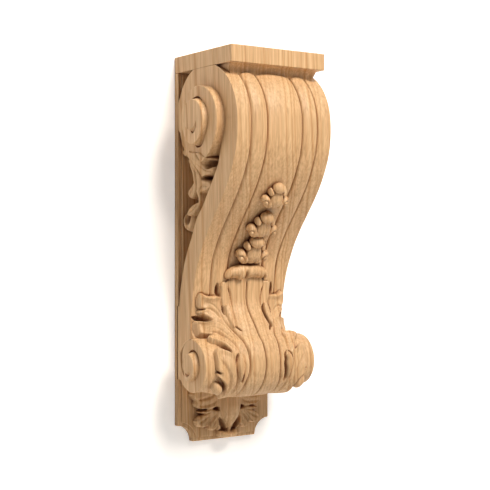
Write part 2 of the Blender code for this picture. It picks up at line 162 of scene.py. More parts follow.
def oak_material():
    """European oak, carved and hand sanded, bare: pale tan with a satin sheen. The trunk runs up the
    block, so growth rings show as upright stripes on the faces and as arcs on the cap's end grain.
    Rings are 2 to 3 mm apart. Real pores are 0.3 mm wide, so they are drawn about 0.8 mm wide.
    Deep cuts carry painted shade: the wood is darkened and warmed there, where little light gets in."""
    material = bpy.data.materials.new("oak_carved_sanded")
    material.use_nodes = True
    tree = material.node_tree
    tree.nodes.clear()
    place = node(tree, "ShaderNodeTexCoord").outputs["Object"]
    trunk = node(tree, "ShaderNodeMapping", {"vector_type": "POINT"},
                 {"Vector": place, "Location": (0.43, -0.13, 0.0), "Rotation": (0.02, 0.03, 0.0)})
    drift = node(tree, "ShaderNodeMapping", None, {"Vector": place, "Scale": (14.0, 14.0, 2.2)})
    waver = node(tree, "ShaderNodeTexNoise", None,
                 {"Vector": drift.outputs[0], "Scale": 1.0, "Detail": 3.0, "Roughness": 0.55})
    split = node(tree, "ShaderNodeSeparateXYZ", None, {"Vector": trunk.outputs[0]})
    flat = node(tree, "ShaderNodeCombineXYZ", None,
                {"X": split.outputs["X"], "Y": split.outputs["Y"], "Z": 0.0})
    radius = node(tree, "ShaderNodeVectorMath", {"operation": "LENGTH"}, {0: flat.outputs[0]})
    bent = node(tree, "ShaderNodeMath", {"operation": "MULTIPLY_ADD"},
                {0: waver.outputs["Fac"], 1: 0.016, 2: radius.outputs["Value"]})
    turns = node(tree, "ShaderNodeMath", {"operation": "MULTIPLY"}, {0: bent.outputs[0], 1: 390.0})
    ring = node(tree, "ShaderNodeTexNoise", {"noise_dimensions": "1D"},
                {"W": turns.outputs[0], "Scale": 0.8, "Detail": 3.0, "Roughness": 0.62})
    ring_tone = ramp(tree, ring.outputs[0], [(0.28, linear("cf9f6a")), (0.4, linear("dcb384")),
                                             (0.52, linear("e2bd8f")), (0.72, linear("e9c799"))])
    grain = node(tree, "ShaderNodeMapping", None, {"Vector": place, "Scale": (720.0, 720.0, 26.0)})
    streak = node(tree, "ShaderNodeTexNoise", None,
                  {"Vector": grain.outputs[0], "Scale": 1.0, "Detail": 2.0, "Roughness": 0.6})
    streak_tone = ramp(tree, streak.outputs["Fac"], [(0.3, (0.72, 0.66, 0.6, 1.0)), (0.62, WHITE)])
    fibre = node(tree, "ShaderNodeMapping", None, {"Vector": place, "Scale": (260.0, 260.0, 9.0)})
    broad = node(tree, "ShaderNodeTexNoise", None,
                 {"Vector": fibre.outputs[0], "Scale": 1.0, "Detail": 3.0, "Roughness": 0.6})
    broad_tone = ramp(tree, broad.outputs["Fac"], [(0.34, (0.82, 0.77, 0.71, 1.0)), (0.66, WHITE)])
    wood = darken(tree, 0.7, darken(tree, 0.8, ring_tone, streak_tone), broad_tone)
    # Painted shade: an ambient occlusion test darkens the wood towards a warm brown (935f39) in deep cuts
    # and crevices.
    open_sky = node(tree, "ShaderNodeAmbientOcclusion", {"samples": 8}, {"Distance": 0.009})
    painted_shade_share = node(tree, "ShaderNodeMapRange", None,
                     {"Value": open_sky.outputs["AO"], "From Min": 0.14, "From Max": 0.72,
                      "To Min": 1.0, "To Max": 0.0})
    wood_with_painted_shade = darken(tree, painted_shade_share.outputs[0], wood, linear("935f39"))
    relief = node(tree, "ShaderNodeMath", {"operation": "ADD"},
                  {0: streak.outputs["Fac"], 1: ring.outputs[0]})
    bump = node(tree, "ShaderNodeBump", None,
                {"Strength": 0.25, "Distance": 0.0003, "Height": relief.outputs[0]})
    rough = node(tree, "ShaderNodeMapRange", None,
                 {"Value": streak.outputs["Fac"], "To Min": 0.62, "To Max": 0.46})
    shader = node(tree, "ShaderNodeBsdfPrincipled", None,
                  {"Base Color": wood_with_painted_shade, "Roughness": rough.outputs[0],
                   "Normal": bump.outputs[0], "IOR": 1.5, "Metallic": 0.0})
    node(tree, "ShaderNodeOutputMaterial", None, {"Surface": shader.outputs[0]})
    return material


oak = oak_material()


def belongs(piece):
    """Oak finish, and a place on the fixed body, as part of the one carved block."""
    if not piece.data.materials:
        piece.data.materials.append(oak)
    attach(piece, "root")
    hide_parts("carved_corbel")


def corner_hollow(radius, side, first, last, steps=18):
    """Quarter hollow about a lower corner of the board."""
    points = []
    for i in range(steps + 1):
        turn = math.radians(first + (last - first) * i / steps)
        points.append((side * (SIDE - radius * math.cos(turn)), radius * math.sin(turn)))
    return points


def board_outline(inset, top):
    """Outline of the board, or of the field inside its cut-down edge."""
    radius = CORNER_HOLLOW + inset
    bend = math.degrees(math.asin(inset / radius))
    outline = [(SIDE - inset, top), (inset - SIDE, top)]
    return (outline + corner_hollow(radius, -1, 90 - bend, bend)
            + corner_hollow(radius, 1, bend, 90 - bend))


board = prism("back_board", board_outline(0.0, UNDER_CAP), 0.0, EDGE_FACE, "wall")
ease_edges(board, 0.5)
belongs(board)
field = prism("board_field", board_outline(EDGE_WIDTH, UNDER_CAP + OVERLAP), OVERLAP, BOARD, "wall")
ease_edges(field, 0.5)
belongs(field)


# Cap.
# The plain square slab at the top that a shelf rests on. It is cut from the same block as the
# scroll, and its arrises are only just sanded.
CAP_REACH = 106.5
cap = prism("cap", [(0.0, HEIGHT), (CAP_REACH, HEIGHT), (CAP_REACH, UNDER_CAP), (0.0, UNDER_CAP)],
            -SIDE, SIDE, "side")
ease_edges(cap, 0.6)
belongs(cap)


# Neck.
# The hollow moulding between cap and scroll, worked with a round plane on the front and returned
# round both sides.
NECK_FOOT = (94.0, 373.6)
NECK_REACH = CAP_REACH - 6.0
NECK_HALF = 53.0
NECK_HOLLOW = 3.0
NECK_BACK = 30.0
NECK_STEPS = 10
points = []
for i in range(NECK_STEPS + 1):
    share = i / NECK_STEPS
    half = NECK_HALF - NECK_HOLLOW * (1 - share) ** 2
    reach = NECK_FOOT[0] + (NECK_REACH - NECK_FOOT[0]) * (1 - math.sqrt(1 - share * share))
    up = NECK_FOOT[1] + (UNDER_CAP - NECK_FOOT[1]) * share
    points += [(-half, NECK_BACK, up), (half, NECK_BACK, up), (half, reach, up), (-half, reach, up)]
belongs(piece_from("neck", points, tube_faces(NECK_STEPS + 1, 4), 40))


# Scroll and acanthus leaf.
# The S-shaped front, cut in one with the block: flat outer bands with a V groove inside each, and
# the leaf that covers the lower roll, carved some 6 mm deep with eyes bored between its lobes.
def arc(centre, radius, first, last, count):
    """Points of a circle, as (out from the board's face, up), with angles up from the front."""
    turns = np.radians(np.linspace(first, last, count))
    return [(centre[0] + radius * math.cos(a), centre[1] + radius * math.sin(a)) for a in turns]


BELLY = [(107.5, 315), (105.2, 299), (99.5, 283), (90.5, 266), (79, 249.5), (67.5, 235),
         (56.5, 221), (47, 207), (39.5, 193)]
UPPER_CENTRE = (48.0, 327.0)
UPPER_RADIUS = 59.5
UPPER_ARC = arc(UPPER_CENTRE, UPPER_RADIUS, 51.5, 2, 6)
ROLL_CENTRE = (41.0, 84.5)
# The front's line down the scroll, from the neck to below the roll: at its side edge, then its middle
EDGE = np.array(UPPER_ARC + BELLY
                + [(33.5, 179.5), (29.2, 166), (26, 152), (24, 139), (23, 127), (24, 117)]
                + arc(ROLL_CENTRE, 26.3, 112, -107, 10) + [(21, 63), (11, 65), (0, 66)])
CREST = np.array(UPPER_ARC + BELLY
                 + [(37.5, 181), (37.8, 167.5), (38.5, 155), (40, 144), (45.5, 134), (53.5, 124.5)]
                 + arc((40, 86), 35, 52.3, -105.7, 10) + [(18, 55), (8, 60), (0, 62)])
LAST = len(EDGE) - 1
OUTER_GROOVE = 40.0
INNER_GROOVE = 21.3
# How full the front is between its side edges, where 2 would be a plain arch
FULLNESS = 2.2


def curve(rows, at):
    """Smooth curve through rows of numbers, at fractional places along them."""
    last = len(rows) - 1
    i = np.clip(np.floor(at).astype(int), 0, last - 1)
    f = (at - i)[..., None]
    p0 = rows[np.maximum(i - 1, 0)]
    p1 = rows[i]
    p2 = rows[i + 1]
    p3 = rows[np.minimum(i + 2, last)]
    return 0.5 * (2 * p1 + (p2 - p0) * f + (2 * p0 - 5 * p1 + 4 * p2 - p3) * f ** 2
                  + (3 * p1 - p0 - 3 * p2 + p3) * f ** 3)


def smooth_path(rows, count):
    """Smooth path through rows of numbers, as a count of points spread along it."""
    return curve(np.array(rows, float), np.linspace(0, len(rows) - 1, count))


def front(station, x, lift):
    """Points (x, out, up) of the front, raised by lift along its normal. A station is a place down
    the front, counted in points of its outline."""
    station, x, lift = np.broadcast_arrays(station, x, lift)
    swell = (1 - np.minimum(np.abs(x) / SIDE, 1.0) ** FULLNESS)[..., None]

    def at(s):
        return curve(EDGE, s) * (1 - swell) + curve(CREST, s) * swell

    here = at(station)
    run = at(station + 0.04) - at(station - 0.04)
    run /= np.linalg.norm(run, axis=-1, keepdims=True)
    out = BOARD + here[..., 0] - run[..., 1] * lift
    up = here[..., 1] + run[..., 0] * lift
    return np.stack([x, out, up], axis=-1)


STATIONS = np.linspace(0.0, LAST, 1651)
# Lengths are measured along the line this far from the middle
MEASURED_AT = 28.0
measured = front(STATIONS, MEASURED_AT, 0.0)
LENGTH = np.concatenate([[0.0], np.cumsum(np.linalg.norm(np.diff(measured, axis=0), axis=1))])


def run_at(station):
    """Length along the front at a station, in millimetres."""
    return np.interp(station, STATIONS, LENGTH)


def station_at(length):
    """Station at a length along the front."""
    return np.interp(length, LENGTH, STATIONS)


def on_front(rows):
    """Rows of (across, station) with the station turned into millimetres along the front."""
    return [(x, float(run_at(station))) for x, station in rows]


def smooth(value, low, high):
    """Share from 0 to 1 that eases in and out between two values."""
    share = np.clip((value - low) / (high - low), 0.0, 1.0)
    return share * share * (3 - 2 * share)


def nearest(x, run, points):
    """Distance from a path of straight spans, and the share of the way along it."""
    points = np.array(points, float)
    spans = np.linalg.norm(np.diff(points, axis=0), axis=1)
    starts = np.concatenate([[0.0], np.cumsum(spans)])
    best = np.full(x.shape, 1e9)
    share = np.zeros(x.shape)
    for i in range(len(spans)):
        a = points[i]
        d = (points[i + 1] - a) / spans[i]
        t = np.clip((x - a[0]) * d[0] + (run - a[1]) * d[1], 0.0, spans[i])
        gap = np.hypot(x - a[0] - d[0] * t, run - a[1] - d[1] * t)
        closer = gap < best
        best = np.where(closer, gap, best)
        share = np.where(closer, (starts[i] + t) / starts[-1], share)
    return best, share


def inside(x, y, outline):
    """True where points lie inside a closed outline."""
    hit = np.zeros(x.shape, bool)
    for (x0, y0), (x1, y1) in zip(outline, outline[1:] + outline[:1]):
        if y0 != y1:
            crossing = (y0 > y) != (y1 > y)
            hit ^= crossing & (x < (x1 - x0) * (y - y0) / (y1 - y0) + x0)
    return hit


def raised(x, y, outline, rim):
    """Share of full height: 0 outside an outline, rounding up to 1 over the rim inside it."""
    gap = nearest(x, y, outline + outline[:1])[0]
    rise = np.sqrt(np.clip(1 - (1 - np.clip(gap / rim, 0, 1)) ** 2, 0, 1))
    return np.where(inside(x, y, outline), rise, 0.0)


def groove(x, y, rows, width, deep, blunt=False):
    """Carved furrow along a path, fading at both ends; a blunt one has steep sides and a floor."""
    gap, share = nearest(x, y, smooth_path(rows, 30))
    ends = np.sin(np.pi * np.clip(share, 0.03, 0.97)) ** 0.5
    return -deep * ends * np.exp(-(gap / (width * (0.4 + 0.6 * ends))) ** (4 if blunt else 2))


LEAF_TOP = 15.4
LEAF_FOOT = 29.4
# One half of the leaf, as distance from the middle and station down the front
LEAF = [(-10, 15.4), (19, 15.6), (24, 15.95), (28, 15.95), (30.5, 16.2), (30.2, 16.7), (30.4, 17.15),
        (34, 17.05), (38, 17.05), (43, 17.0), (46, 16.9), (48.5, 16.76), (50.5, 16.74), (52.0, 16.86),
        (53.0, 17.12), (53.3, 17.42), (52.6, 17.74), (50.6, 17.96), (47.5, 18.05), (50.8, 18.08),
        (52.4, 18.2), (51.4, 18.42), (47.5, 18.64),
        (43.3, 19.12), (43.3, 19.3), (49, 19.07), (54, 18.99), (55.6, 19.19), (55.4, 19.74), (54.5, 20.52),
        (51.5, 20.74), (46, 20.84), (46.5, 21.2), (50, 21.7), (53.5, 22.2), (55, 22.6), (53.5, 22.92),
        (51, 22.8), (48, 22.76), (45, 22.89), (42, 23.06), (39.6, 23.29), (39.6, 23.5), (42.5, 23.46),
        (48.5, 23.52), (53.5, 23.75), (56.4, 24.3), (56.6, 25.5), (55.6, 25.76), (52.5, 25.8),
        (55.5, 25.9), (56.4, 26.1), (55, 26.2), (50, 26.3), (45.4, 26.5), (43.0, 27.0), (42.8, 27.6),
        (43.5, 28.3), (41, 28.75), (30, 29.1), (15, 29.4), (-10, 29.4)]
# Furrows between the lobes: path, width and depth
MAIN_LINES = [
    ([(31.5, 19.0), (30.6, 19.5), (26.5, 20.32), (22.5, 20.94), (20.5, 21.86), (19.3, 22.74), (18.7, 23.6),
      (18.6, 24.4), (19.2, 25.1), (20.8, 25.9), (21.5, 26.8), (21.5, 29)], 1.2, 3.0),
    ([(22.5, 16.2), (19.4, 17.0), (18.0, 17.8), (18.2, 18.4)], 1.0, 2.2),
    ([(47, 20.75), (42, 20.49), (37, 20.89), (33.5, 21.71), (31, 22.5), (29, 23.3)], 1.5, 2.4),
    ([(52, 24.7), (47.5, 24.95), (43.5, 25.31), (41, 25.78), (39.3, 26.5), (38.5, 27.6)], 2.4, 2.6),
    ([(39.6, 23.4), (36.5, 24.0), (33.6, 24.9), (31.5, 25.9), (30.5, 27), (30.5, 28.6)], 1.5, 2.4),
    ([(49.5, 18.06), (43, 18.1), (37, 18.55), (33, 19.3)], 1.3, 1.5),
    ([(30.2, 17.2), (29.4, 17.7), (29.0, 18.3)], 1.1, 2.0),
]
# Fine veins that run with the lobes
FLOW_LINES = [
    [(46, 17.5), (40, 17.7), (35, 18.2), (31.5, 18.9)],
    [(44, 19.6), (38, 19.5), (32, 20.0), (27.5, 20.8), (24.5, 21.7)],
    [(50, 20.2), (43, 20.0), (37, 20.3), (31.5, 21.0), (27, 22.0)],
    [(48, 21.9), (42, 21.6), (37, 22.1), (33, 22.8)],
    [(46, 22.5), (41, 22.3), (36.5, 22.8), (33, 23.4)],
    [(36, 25.4), (34.6, 26.2), (34, 27.2), (34, 28.3)],
    [(28, 26.4), (26.5, 27.2), (26.5, 28.5)],
    [(9.5, 16.5), (8, 18.3), (8.5, 20), (10.5, 22), (9.5, 24), (9.5, 26), (10.5, 28)],
    [(14, 16.5), (12, 18.3), (12.5, 20), (15, 22), (14, 24), (14, 26), (15, 28)],
]
# Steep-sided cuts and eyes between the lobes: path, width and depth
HOLES = [
    ([(28.4, 18.0), (28.9, 18.4), (28.6, 18.9)], 1.1, 4.0),
    ([(21.5, 20.1), (19.5, 20.35), (17.2, 20.6)], 0.9, 4.0),
    ([(25.4, 25.1), (26.0, 25.6), (25.4, 26.0)], 1.0, 4.0),
    ([(30.5, 23.3), (33.4, 23.75), (34.6, 24.3)], 1.0, 4.0),
    ([(33.4, 16.1), (33.6, 16.5), (33.2, 16.85), (31.4, 17.08)], 1.8, 7.0),
    ([(55.5, 18.62), (50, 18.86), (46, 19.1), (42.5, 19.25)], 2.2, 8.0),
    ([(58, 23.12), (54, 23.28), (50, 23.12), (47, 23.3), (43.5, 23.18), (40.3, 23.4)], 2.3, 10.0),
    ([(58, 25.9), (54, 25.82), (51.5, 25.76)], 1.0, 5.0),
    ([(58, 26.4), (54, 26.3), (49.6, 26.45), (45.4, 26.8), (43.8, 27.3), (44.0, 27.9)], 1.6, 8.0),
]
# Undercuts behind two small lobes, cut deeper on the right than on the left
UNDERCUTS = [
    ([(21.2, 18.05), (18.9, 18.5), (19.2, 19.1), (20.0, 19.7), (21.8, 20.3)], 1.3, 6.5),
    ([(28.0, 23.2), (25.2, 23.5), (25.6, 23.95), (24.6, 24.3), (25.8, 24.9), (26.8, 25.5),
      (26.2, 26.1)], 1.4, 6.5),
]
# Small rounded lobes that stand over the leaf: outline, height and how soon they round over
BEADS = [
    ([(22, 17.85), (26, 17.9), (27.8, 18.3), (28, 18.75), (27, 19.2), (26.4, 19.8), (25.6, 20.25),
      (23, 20.3), (21.4, 19.8), (20.6, 19.1), (20.6, 18.4)], 2.8, 2.8),
    ([(29.5, 23.3), (33, 23.8), (34, 24.4), (33.2, 25.0), (30.5, 25.6), (28.2, 25.9), (26.8, 25.2),
      (26.2, 24.4), (27, 23.7)], 2.8, 3.2),
]
# The ball at the lowest lobe's end: distance from the middle, station and radius
BALL = (51.0, 27.35, 7.0)
MIDRIB_WIDTH = 0.9
MIDRIB_DEEP = 2.6
LEAF_RISE = 1.6
LOBE_RISE = 4.4
LOBE_DISH = 2.0


def leaf_height(x, station):
    """Height of the whole leaf over the front, from 0 where the bands are left plain."""
    run = run_at(station)
    undercut = np.where(x < 0, 0.2, 1.0)
    x = np.abs(x)
    lobes = smooth(x, 21, 44)
    high = LEAF_RISE + LOBE_RISE * lobes * (1 - 0.3 * smooth(station, 27.5, LEAF_FOOT))
    outline = on_front(LEAF)
    gap = nearest(x, run, outline + outline[:1])[0]
    total = high * raised(x, run, outline, 1.6)
    within = inside(x, run, outline)
    total -= LOBE_DISH * lobes * smooth(gap, 1.2, 6.0) * within
    total -= 1.3 * lobes * np.exp(-(gap / 1.3) ** 2) * ~within
    for rows, extra, rim in BEADS:
        total += extra * raised(x, run, on_front(rows), rim)
    for rows in FLOW_LINES:
        total += groove(x, run, on_front(rows), 0.8, 0.7 if rows[0][0] > 20 else 0.3)
    for rows, width, deep in MAIN_LINES:
        total += groove(x, run, on_front(rows), width, deep)
    for rows, width, deep in HOLES:
        total += groove(x, run, on_front(rows), width, deep, True)
    for rows, width, deep in UNDERCUTS:
        total += undercut * groove(x, run, on_front(rows), width, deep, True)
    total -= MIDRIB_DEEP * np.exp(-(x / MIDRIB_WIDTH) ** 2) * smooth(station, 15.8, 16.2)
    from_ball = np.hypot(x - BALL[0], run - run_at(BALL[1]))
    ball = 8.6 * np.sqrt(np.clip(1 - (from_ball / BALL[2]) ** 2, 0, 1)) - 1.0
    return np.where(from_ball < BALL[2], np.maximum(ball, np.minimum(total, -1.0)), total)


PLAIN_STEP = 2.6
LEAF_STEP = 0.62
columns = np.linspace(-SIDE, SIDE, 191)
rows_at = np.concatenate([
    station_at(np.arange(0.0, run_at(LEAF_TOP), PLAIN_STEP)),
    station_at(np.arange(run_at(LEAF_TOP), run_at(LEAF_FOOT), LEAF_STEP)),
    station_at(np.linspace(run_at(LEAF_FOOT), run_at(LAST), 14)),
])
station_grid, x_grid = np.meshgrid(rows_at, columns, indexing="ij")
lift = leaf_height(x_grid, station_grid)
GROOVE_DEEP = 2.0
GROOVE_HALF = 1.3
MIDDLE_REED = 2.9
SIDE_REED = 2.6
plain = (1 - smooth(station_grid, 17.0, 17.4)) * (lift < 0.3)
distance = np.abs(x_grid)
for line in (INNER_GROOVE, OUTER_GROOVE):
    lift -= plain * GROOVE_DEEP * np.clip(1 - np.abs(distance - line) / GROOVE_HALF, 0, 1)
reeds = 1 - smooth(station_grid, 15.2, 17.5)
lift += reeds * np.where(distance < INNER_GROOVE, MIDDLE_REED * (1 - (distance / INNER_GROOVE) ** 2), 0.0)
reed_middle = (INNER_GROOVE + OUTER_GROOVE) / 2
reed_half = (OUTER_GROOVE - INNER_GROOVE) / 2
lift += reeds * SIDE_REED * np.clip(1 - ((distance - reed_middle) / reed_half) ** 2, 0, 1)
surface = front(station_grid, x_grid, lift)
# The back of the scroll below the volute, out from the board's face and up
RIBBON_BACK = [(79.4, 306), (75.4, 289), (68.2, 276), (56, 259), (45.2, 243.7), (34.2, 232),
               (23.5, 211), (16.1, 198.4), (10, 184.6), (6.4, 173), (2.6, 159), (0, 142)]
SNAIL_CENTRE = (48.0, 331.0)
SNAIL_START = 65.5
SNAIL_SHRINK = 0.088


def snail_radius(turn):
    """Radius of the upper volute's raised edge at an angle in degrees, shrinking as it turns."""
    return SNAIL_START * math.exp(-SNAIL_SHRINK * math.radians(turn)) - 3.2 * float(smooth(turn, 850, 960))


def on_circle(centre, radius, turn):
    """Place (out from the wall, up) on a circle about a centre given from the board's face."""
    angle = math.radians(turn)
    return (BOARD + centre[0] + radius * math.cos(angle), centre[1] + radius * math.sin(angle))


VOLUTE_BACK = 54.0
CLEAR_OF_EDGE = 0.4
IN_BOARD = 5.0
crown = [on_circle(UPPER_CENTRE, UPPER_RADIUS, float(a)) for a in np.arange(70.8, 52.0, -2.3)]
under_volute = []
for a in range(326, 148, -6):
    wide = 1 - float(smooth(a, 174, 204))
    out, up = on_circle(SNAIL_CENTRE, (snail_radius(a) - 5) * (1 - wide) + VOLUTE_BACK * wide, a)
    under_volute.append((max(out, EDGE_FACE + CLEAR_OF_EDGE), up))
over_volute = []
for a in range(147, 109, -3):
    over_volute.append(on_circle(UPPER_CENTRE, UPPER_RADIUS - 5.4 * float(smooth(a, 110, 165)), a))
back = [(IN_BOARD, 66.0), (IN_BOARD, 142.0)]
back += [(BOARD + d, up) for d, up in smooth_path(RIBBON_BACK[::-1], 40)]
back += under_volute + over_volute
back += [(over_volute[-1][0], UNDER_CAP)]
points = []
for c, x in enumerate(columns):
    points += [(x, out, up) for out, up in crown]
    points += [tuple(p) for p in surface[:, c]]
    points += [(x, out, up) for out, up in back]
ring = len(crown) + len(rows_at) + len(back)
belongs(piece_from("scroll_and_leaf", points, tube_faces(len(columns), ring), 50))


# Web.
# The oak left standing between the two side hollows, 24 mm in from each side, that joins the scroll's
# front to the board. It is the floor that the foliage is carved on.
WEB = 33.0
FRONT_THICK = 9.0
inner_front = front(np.linspace(1.0, 16.0, 40), SIDE, -FRONT_THICK)
web_outline = [(4.0, 130.0), (4.0, 390.0), (85.0, 390.0)]
web_outline += [(p[1], p[2]) for p in inner_front] + [(20.0, 130.0)]
belongs(prism("web", web_outline, -WEB, WEB, "side"))


# Volutes.
# The scroll's ends wind up into flat-faced spirals that step outwards turn by turn, sawn and pared
# upright from the same block, with their arrises just sanded.
TURN_STEPS = 72
VOLUTE_ROOT = 27.0
GOUGE_DEEP = 3.2


def snail(name, centre, radius_at, rise_at, first, last, side, lean, cuts):
    """Stepped spiral standing out from the block's side; angles in degrees up from the front. Its
    wall leans out by lean at the foot. Cuts are gouged crescents beside the wall: where each starts,
    is deepest, starts to end and ends."""
    n = TURN_STEPS
    count = round((last - first) / 360 * n)
    angles = [first + 360 * i / n for i in range(count + 1)]

    def at(turn, radius, x):
        out, up = on_circle(centre, radius, turn)
        return (side * x, out, up)

    points, rim, low, wall, top = [], [], [], [], []
    for i, turn in enumerate(angles):
        radius = radius_at(turn)
        face = SIDE + rise_at(turn)
        base = VOLUTE_ROOT if i < n else SIDE + rise_at(turn - 360)
        soft = min(0.6, max(face - base, 0.05) * 0.3)
        room = 0.0 if i < n else float(smooth(radius_at(turn - 360) - radius, 1, 8))
        sunk = room * sum(float(smooth(turn, a, b) * (1 - smooth(turn, c, d))) for a, b, c, d in cuts)
        rim.append(len(points))
        points.append(at(turn, radius + room * lean + 2.4 * sunk, base))
        low.append(len(points))
        points.append(at(turn, radius + 0.7 * room * lean + 1.3 * sunk, base - GOUGE_DEEP * sunk))
        wall.append(len(points))
        points.append(at(turn, radius, face - soft))
        top.append(len(points))
        points.append(at(turn, radius - soft, face))
    foot_end = len(points)
    points.append(at(angles[n], radius_at(angles[n]), VOLUTE_ROOT))
    middle = len(points)
    points.append(at(0, 0, SIDE + rise_at(last)))
    faces = []
    for i in range(count):
        if i < n:
            end = foot_end if i == n - 1 else rim[i + 1]
            faces.append((wall[i], wall[i + 1], end, rim[i]))
        else:
            faces.append((rim[i], rim[i + 1], low[i + 1], low[i]))
            faces.append((wall[i], wall[i + 1], low[i + 1], low[i]))
        faces.append((top[i], top[i + 1], wall[i + 1], wall[i]))
        if i < count - n:
            faces.append((top[i], top[i + 1], rim[i + n + 1], rim[i + n]))
        else:
            faces.append((middle, top[i], top[i + 1]))
    faces.append((middle, top[count], wall[count], low[count], rim[count], top[count - n]))
    faces.append((rim[0], wall[0], top[0], rim[n], low[n], wall[n], foot_end))
    faces.append(tuple(rim[:n]) + (foot_end,))
    return piece_from(name, points, faces, 30)


def upper_rise(turn):
    """Height of the upper volute's face over the block's side."""
    return float(-1 + 10.5 * smooth(turn, 180, 330) + 6.5 * smooth(turn, 560, 690))


def lower_radius(turn):
    """Radius of the lower volute's edge: a full turn round the roll, then a small disc and an eye."""
    return float(26.6 - 11.8 * smooth(turn, 450, 560) - 1.4 * smooth(turn, 560, 760)
                 - 5.4 * smooth(turn, 790, 850) - 1.5 * smooth(turn, 850, 1100))


def lower_rise(turn):
    """Height of the lower volute's face over the block's side."""
    return float(10.6 + 6 * smooth(turn, 540, 650))


UPPER_CUTS = [(775, 800, 850, 890), (598, 622, 642, 668), (935, 985, 1035, 1070)]
LOWER_CUTS = [(450, 490, 560, 610), (720, 765, 840, 890), (850, 880, 1000, 1060)]
for side, hand in ((-1, "left"), (1, "right")):
    belongs(snail("upper_volute_" + hand, SNAIL_CENTRE, snail_radius, upper_rise, 170, 1080, side,
                  1.0, UPPER_CUTS))
    belongs(snail("lower_volute_" + hand, ROLL_CENTRE, lower_radius, lower_rise, 90, 1110, side,
                  1.6, LOWER_CUTS))


# Pendant leaf.
# Pairs of veined lobes and a curled tip on the board below the roll, cut in one with the board. The
# lobes stand about 9 mm over it and the rounded middle about 21 mm, where it runs up behind the roll.
def relief(name, us, vs, height, base, to_point):
    """Closed piece with a carved face: heights on a grid of two measures, flat behind at base."""
    v_grid, u_grid = np.meshgrid(vs, us, indexing="ij")
    tops = height(u_grid, v_grid)
    rows, cols = tops.shape
    points = [to_point(u_grid[r, c], v_grid[r, c], tops[r, c]) for r in range(rows) for c in range(cols)]
    start = len(points)
    rim = [(0, c) for c in range(cols)] + [(r, cols - 1) for r in range(1, rows)]
    rim += [(rows - 1, c) for c in range(cols - 2, -1, -1)] + [(r, 0) for r in range(rows - 2, 0, -1)]
    points += [to_point(u_grid[r, c], v_grid[r, c], base) for r, c in rim]
    faces = []
    for r in range(rows - 1):
        for c in range(cols - 1):
            a = r * cols + c
            faces.append((a, a + 1, a + cols + 1, a + cols))
    for i, (r, c) in enumerate(rim):
        j = (i + 1) % len(rim)
        faces.append((r * cols + c, rim[j][0] * cols + rim[j][1], start + j, start + i))
    faces.append(tuple(range(start, start + len(rim))))
    return piece_from(name, points, faces, 50)


# One half of the pendant leaf, as distance from the middle and height
PENDANT = [(-20, 66), (20, 66), (34, 60), (43, 55), (46.5, 50), (44.3, 46.7), (40.5, 43), (42.3, 40.0),
           (40, 36.5), (34.6, 33.9), (28, 33.4), (34, 32.9), (37.6, 31.8), (36, 30.0), (31.5, 28.9),
           (36, 27), (38.5, 25), (40.4, 21.9), (39.6, 18.5), (37, 15.6), (31, 14.6), (27, 15.6),
           (25.9, 15.9), (26, 13.2), (24.3, 11.6), (19.5, 10.4), (16.2, 11.6), (14.2, 14.5), (13.2, 12),
           (13, 9), (13.2, 5.5), (11, 2.6), (6, 1.2), (-20, 1.0)]
# Furrows between the lobes and veins on them: path, width and depth
PENDANT_LINES = [
    ([(35.5, 33.6), (28, 33.2), (21, 33.4), (15, 35.5)], 1.5, 2.4),
    ([(31.5, 28.9), (26.5, 29.6), (21, 31)], 1.4, 2.0),
    ([(25.9, 15.9), (23.5, 20), (20, 24.5), (16.5, 28)], 1.7, 2.6),
    ([(37, 21), (31, 23.5), (25, 27), (20, 30)], 1.6, 1.6),
    ([(31, 16), (27.5, 20), (23.5, 25), (19, 29)], 1.1, 1.4),
    ([(21, 12), (19, 17), (16.5, 22)], 1.2, 1.8),
    ([(38, 38.5), (30, 38), (22, 39), (16, 42)], 1.8, 1.8),
    ([(41, 45), (32, 45), (23, 47), (16, 52)], 1.5, 2.0),
]
# Deep cuts under the lobes and beside the middle: path, width and depth
PENDANT_HOLES = [
    ([(18.5, 33.4), (14.5, 33.6), (11.5, 32.0)], 1.9, 8.0),
    ([(14.2, 4), (13.8, 9), (15.2, 13.5)], 1.6, 8.0),
    ([(7.8, 8.0), (7.0, 13), (9.4, 18), (12.4, 23)], 3.0, 8.5),
]
MIDDLE_VEIN = [(3.2, 13), (5.2, 20), (7.0, 28), (7.6, 40), (6.8, 62)]
# Where there is no leaf, the relief lies this far under the board's face
PENDANT_BED = -4.0
TIP_UP = 5.0
TIP_HALF = (11.5, 3.8)
TIP_RISE = 12.5


def pendant_height(x, up):
    """Lobes with a big rounded centre that narrows to a neck and ends in a curled-up tip."""
    x_side = np.abs(x)
    high = 8.8 - 3.0 * smooth(-up, -14, -4) + 1.5 * smooth(up, 36, 56)
    high = high - 7.0 * (1 - smooth(up, 8, 14)) * (x_side < 16)
    total = PENDANT_BED + (high - PENDANT_BED) * raised(x_side, up, PENDANT, 1.8) ** 0.7
    for rows, width, deep in PENDANT_LINES:
        total += groove(x_side, up, rows, width, deep)
    for rows, width, deep in PENDANT_HOLES:
        total += groove(x_side, up, rows, width, deep, True)
    half = np.interp(up, [8, 12, 16, 20, 25, 32, 40, 66], [3.2, 2.8, 4.2, 7.8, 11.4, 13.4, 13.6, 12.0])
    middle = np.interp(up, [8, 14, 20, 27, 36, 48, 66], [8.0, 10.5, 15.5, 19.5, 21.5, 21.0, 19.0])
    middle = middle * np.sqrt(1 - np.clip(x_side / half, 0, 1) ** 2)
    middle += groove(x_side, up, MIDDLE_VEIN, 1.3, 1.5)
    total = np.where((x_side < half) & (up > 8), np.maximum(total, middle), total)
    tip = np.clip(1 - ((up - TIP_UP - 0.015 * x_side ** 2) / TIP_HALF[1]) ** 2, 0, 1)
    tip = tip * np.clip(1 - (x_side / TIP_HALF[0]) ** 4, 0, 1)
    total = np.where(tip > 0, np.maximum(total, TIP_RISE * np.sqrt(tip)), total)
    return np.maximum(total, PENDANT_BED)


